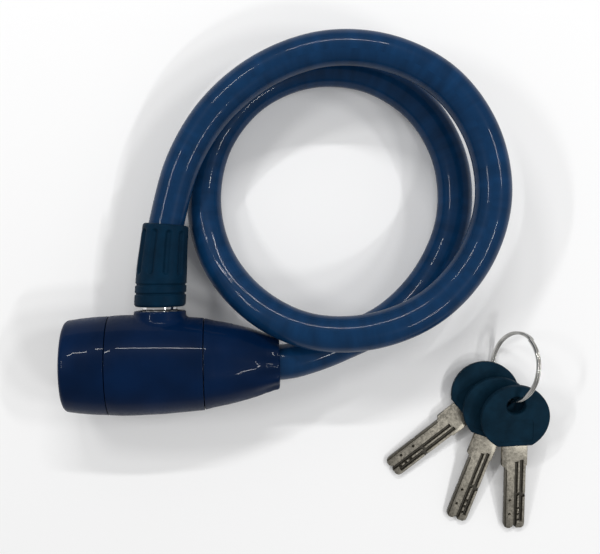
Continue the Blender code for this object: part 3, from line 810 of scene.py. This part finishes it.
def key_place(hole, yaw, dip):
    turn = Matrix.Rotation(math.radians(-yaw), 4, "Z") @ Matrix.Rotation(math.radians(dip), 4, "X")
    return Matrix.Translation(world(*hole)) @ turn


def lane_mesh(x, half, start, end):
    """A groove's cutter: a steep V with a narrow floor and sloping ends, standing over the blade's face."""
    rows = []
    for reach, z in ((-0.5, 0.30), (0.0, 1.0), (0.9, 2.0)):
        wide = half * (0.35 if z < 0.5 else 1.0 + (z - 1.0))
        low, high = start + reach, end - reach
        spots = ((x - wide, low), (x + wide, low), (x + wide, high), (x - wide, high))
        rows.append([Vector((px, py, z)) * MM for px, py in spots])
    return skin("lane", rows, closed_rows=False, caps=True)


def blade_mesh():
    """A dimple-key blade: shoulders, two long lanes, a zigzag side cut, a cleft tip and rows of dimples."""
    flat, step, tip = BLADE_FLAT, BLADE_STEP, BLADE_TIP
    outline = [(-3.2, -8.4), (-3.2, flat), (-4.45, flat), (-4.45, step + 0.5), (-3.9, step)]
    outline += [(-3.3, step - 0.3), (-3.3, tip + 1.7), (-2.9, tip + 0.6), (-2.0, tip), (-1.0, tip)]
    outline += [(-0.3, tip + 0.5), (0.1, tip + 1.3), (0.5, tip + 0.5), (1.2, tip)]
    outline += [(2.9, tip), (3.8, tip + 0.6), (4.05, tip + 1.7), (4.05, step)]
    outline += [(4.45, step + 0.5), (4.45, flat), (3.2, flat), (3.2, -8.4)]
    blade = add("blade", plate("blade", outline, -BLADE_HALF, BLADE_HALF))
    edge = blade.modifiers.new("edges", "BEVEL")
    edge.width = 0.32 * MM
    edge.segments = 2
    edge.limit_method = "ANGLE"
    edge.angle_limit = math.radians(60)
    apply_modifiers(blade)
    cutters = []
    for side in (1, -1):
        turn = Matrix.Identity(4) if side > 0 else Matrix.Rotation(math.pi, 4, "Y")
        lanes = ((0.75, 0.62, -21.0, tip - 1.0), (2.55, 0.66, -20.4, tip + 2.2))
        for n, (x, half, start, end) in enumerate(lanes):
            cutters.append(scratch(f"lane{n}{side}", lane_mesh(x, half, start, end), turn))
        wall = [(0.4, -33.9), (1.9, -32.7), (3.4, -33.6), (5.0, -32.4)]
        wall += [(5.0, -33.7), (3.2, -35.0), (1.9, -34.0), (0.4, -35.3)]
        cutters.append(scratch(f"zigzag{side}", plate("zigzag", wall, 0.30, 3.0), turn))
        low = [(-3.9, step - 0.9), (-2.55, step - 0.9), (-2.55, tip - 1), (-3.9, tip - 1)]
        cutters.append(scratch(f"chamfer{side}", plate("chamfer", low, 0.62, 3.0), turn))
        dimples = ((1.75, 3.0, 0.8), (1.75, 5.4, 0.6), (1.7, 7.6, 0.7), (-1.3, 5.6, 0.55), (-1.3, 11.0, 0.55))
        for n, (x, y, r) in enumerate(dimples):
            cone = lathe("dimple", [(0, 2.0), (r + 0.9, 2.0), (r, 1.0), (0.15, 0.35), (0, 0.35)], 20)
            place = turn @ Matrix.Translation(Vector((x, tip + y, 0)) * MM)
            cutters.append(scratch(f"dimple{n}{side}", cone, place))
    combine(blade, cutters, sharp=25.0)
    mesh = blade.data
    bpy.data.objects.remove(blade)
    return mesh


def head_mesh():
    """The moulded head: rounded rim, a round ring hole with a soft edge, and a shallow panel on each face."""
    lowest = math.degrees(math.asin((HEAD_Y - BLADE_FLAT) / HEAD_R))
    outline = arc(HEAD_R, -lowest, 180 + lowest, 110, (0.0, HEAD_Y))
    head = add("head", plate("head", outline, -HEAD_HALF, HEAD_HALF))
    hole = scratch("hole", lathe("hole", [(0, -4), (HEAD_HOLE_R, -4), (HEAD_HOLE_R, 4), (0, 4)], 64))
    combine(head, [hole])
    bevelled(head, 0.55, 4, 50)
    cutters = []
    for side in (1, -1):
        turn = Matrix.Identity(4) if side > 0 else Matrix.Rotation(math.pi, 4, "Y")
        panel = []
        for start, spot in ((0, (4.9, -6.4)), (90, (-4.9, -6.4)), (180, (-4.9, -12.1)), (270, (4.9, -12.1))):
            panel += arc(PANEL_CORNER_R, start, start + 90, 6, spot)
        cutters.append(scratch(f"panel{side}", plate("panel", panel, HEAD_HALF - PANEL_DEPTH, 3.0), turn))
    combine(head, cutters, sharp=30.0)
    mesh = head.data
    bpy.data.objects.remove(head)
    return mesh


def keys():
    blade, head = blade_mesh(), head_mesh()
    for i, (hole, yaw, dip) in enumerate(KEYS, 1):
        place = key_place(hole, yaw, dip)
        for name, mesh, slot in (("blade", blade, "nickel"), ("head", head, "head_navy")):
            obj = dress(add(f"key_{name}_skin_{i}", mesh.copy(), place), slot)
            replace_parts(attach(obj, f"key_{i}"), f"key_{name}_{i}")


def split_ring():
    """Two turns of flattened spring wire lying on each other, with squared ends."""
    turns, steps = 2, 96
    section = rounded([(-0.55, -0.3, 0.2), (0.55, -0.3, 0.2), (0.55, 0.3, 0.2), (-0.55, 0.3, 0.2)], 3)
    rows = []
    for k in range(turns * steps + 1):
        angle = math.radians(RING_START) + TAU * k / steps
        height = RING_PITCH * (k / steps - turns / 2)
        out = Vector((math.cos(angle), math.sin(angle), 0))
        rows.append([(out * (RING_R + p.x) + Vector((0, 0, height + p.y))) * MM for p in section])
    mesh = finish_mesh(skin("split_ring_skin", rows, closed_rows=False, caps=True), 40)
    tilt = Matrix.Rotation(math.radians(RING_TURN), 4, "Z") @ Matrix.Rotation(math.radians(RING_TILT), 4, "Y")
    obj = add("split_ring_skin", mesh, Matrix.Translation(world(*RING_AT)) @ tilt)
    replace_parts(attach(dress(obj, "ring_steel"), "key_ring"), "split_ring")


def hidden_nodes():
    """The inner pieces keep their CAD shapes and take a finish from their slot."""
    slots = {part["node"]: part["material_slot"] for part in frame["record"]["subparts"]}
    for name, obj in frame["nodes"].items():
        if not obj.hide_render:
            obj.data.materials.clear()
            obj.data.materials.append(MATERIALS[slots[name]])


camera()
sheath, centre_line, sheath_length = cable()
studio()
end_cap()
barrel_shell()
boot_cone()
lock_face()
shackle_pin()
sleeve = grip()
keys()
split_ring()
hidden_nodes()
